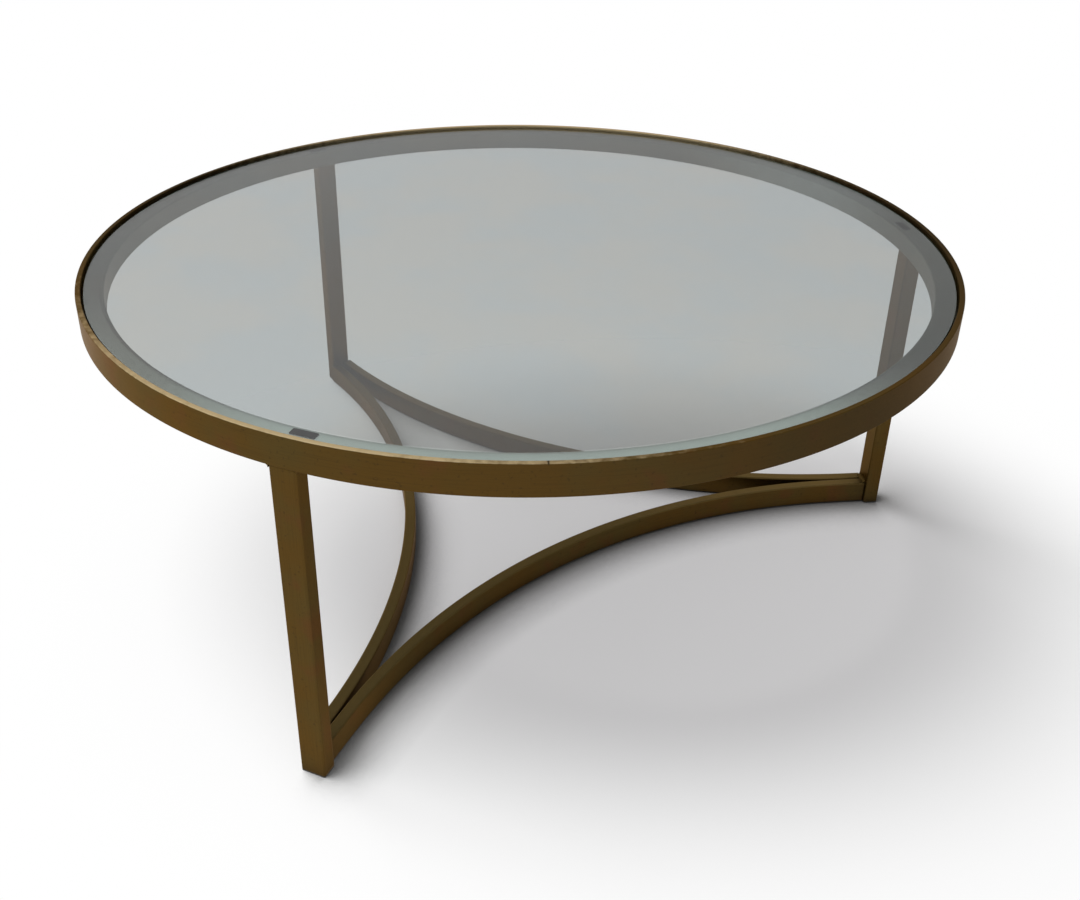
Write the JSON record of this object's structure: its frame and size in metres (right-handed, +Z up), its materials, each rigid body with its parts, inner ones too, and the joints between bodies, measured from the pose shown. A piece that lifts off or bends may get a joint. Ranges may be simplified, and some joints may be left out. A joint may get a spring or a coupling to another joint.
{
  "type": "round coffee table",
  "caption": "Round coffee table: a loose glass disc set in an antique-brass steel ring, on upright tube legs tied at floor level by inward-bent stretchers.",
  "frame": {"origin": "on the floor, on the upright axis of the round top", "axes": "+Z up; the front leg stands on -Y, and +X is to the right of a person who faces the front leg"},
  "size_m": [1.0669, 1.067, 0.422],
  "materials": {
    "antique_brass": "satin antique brass on steel, mottled brown, with worn bright edges",
    "glass": "clear float glass with a faint green tint and ground edges",
    "pad_rubber": "matt black",
    "glide_plastic": "matt black"
  },
  "bodies": {
    "base": {"rim_band": "antique_brass", "seat_ring": "antique_brass", "glass_pad_front": "pad_rubber", "glass_pad_right": "pad_rubber", "glass_pad_left": "pad_rubber", "leg_front": "antique_brass", "leg_right": "antique_brass", "leg_left": "antique_brass", "leg_weld_front": "antique_brass", "leg_weld_right": "antique_brass", "leg_weld_left": "antique_brass", "stretcher_front_right": "antique_brass", "stretcher_back": "antique_brass", "stretcher_front_left": "antique_brass", "stretcher_weld_front": "antique_brass", "stretcher_weld_right": "antique_brass", "stretcher_weld_left_back": "antique_brass", "stretcher_weld_left_front": "antique_brass", "glide_front": "glide_plastic", "glide_right": "glide_plastic", "glide_left": "glide_plastic"},
    "glass": {"glass_top": "glass"}
  },
  "joints": [
    {"name": "glass_lift", "type": "slide", "parent": "base", "child": "glass", "axis": [0, 0, 1], "range_m": [0, 0.06]}
  ]
}
